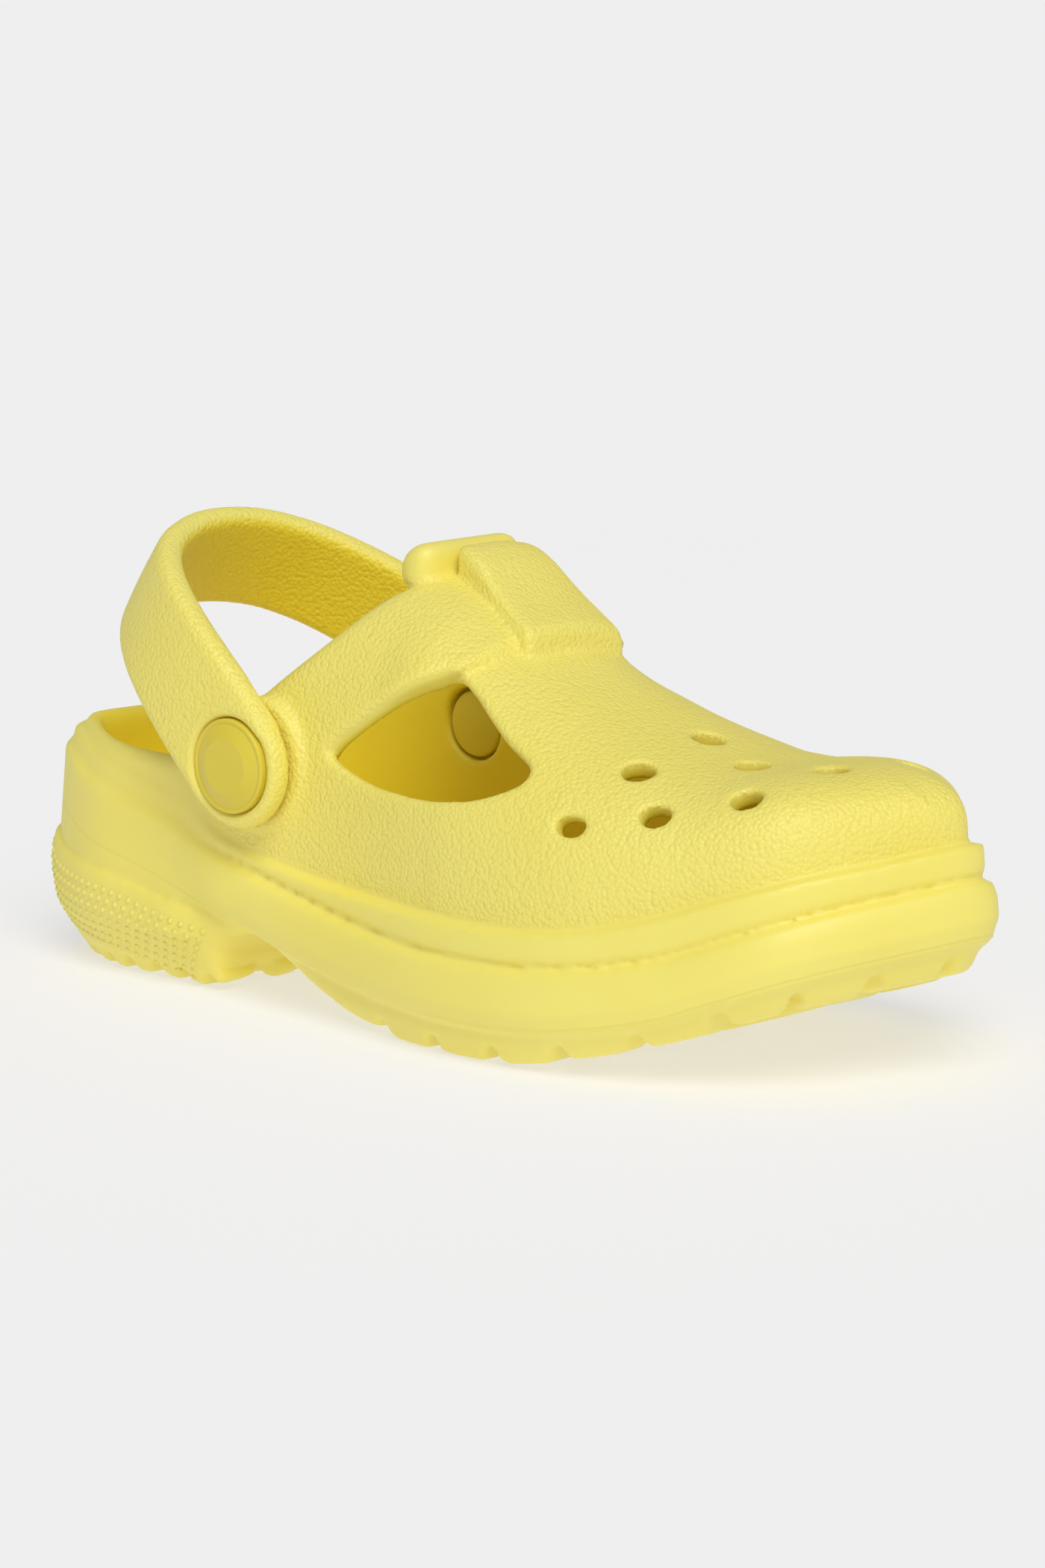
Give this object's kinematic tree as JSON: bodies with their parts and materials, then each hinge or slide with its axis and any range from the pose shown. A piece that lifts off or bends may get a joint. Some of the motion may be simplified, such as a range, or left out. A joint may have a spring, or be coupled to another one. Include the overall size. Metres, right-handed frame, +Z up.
{
  "type": "rubber garden clog",
  "caption": "Moulded foam garden clog with T-bar vamp, side windows, vent holes, heel block and a swinging heel strap on snap rivets.",
  "frame": {"origin": "bottom centre of the bounding box, on the ground under the middle of the shoe", "axes": "+X from heel to toe, +Y to the wearer's left (inner side of this right shoe), +Z up"},
  "size_m": [0.205, 0.0889, 0.0843],
  "materials": {
    "shell_foam": "matte, fine pebble grain on the upper, smooth on the sole",
    "strap_foam": "matte, fine pebble grain",
    "rivet": "satin, smooth"
  },
  "bodies": {
    "shell": {"clog_shell": "shell_foam"},
    "strap": {"heel_strap": "strap_foam"},
    "rivet_right": {"rivet_cap_right": "rivet", "rivet_back_right": "rivet"},
    "rivet_left": {"rivet_cap_left": "rivet", "rivet_back_left": "rivet"}
  },
  "joints": [
    {"name": "strap_swing", "type": "hinge", "parent": "shell", "child": "strap", "pos_m": [-0.0345, 0, 0.0445], "axis": [0, 1, 0], "range_deg": [-20, 90]},
    {"name": "rivet_right_spin", "type": "hinge", "parent": "shell", "child": "rivet_right", "pos_m": [-0.0345, -0.033, 0.0445], "axis": [0, 1, 0], "continuous": true},
    {"name": "rivet_left_spin", "type": "hinge", "parent": "shell", "child": "rivet_left", "pos_m": [-0.0345, 0.033, 0.0445], "axis": [0, 1, 0], "continuous": true}
  ]
}
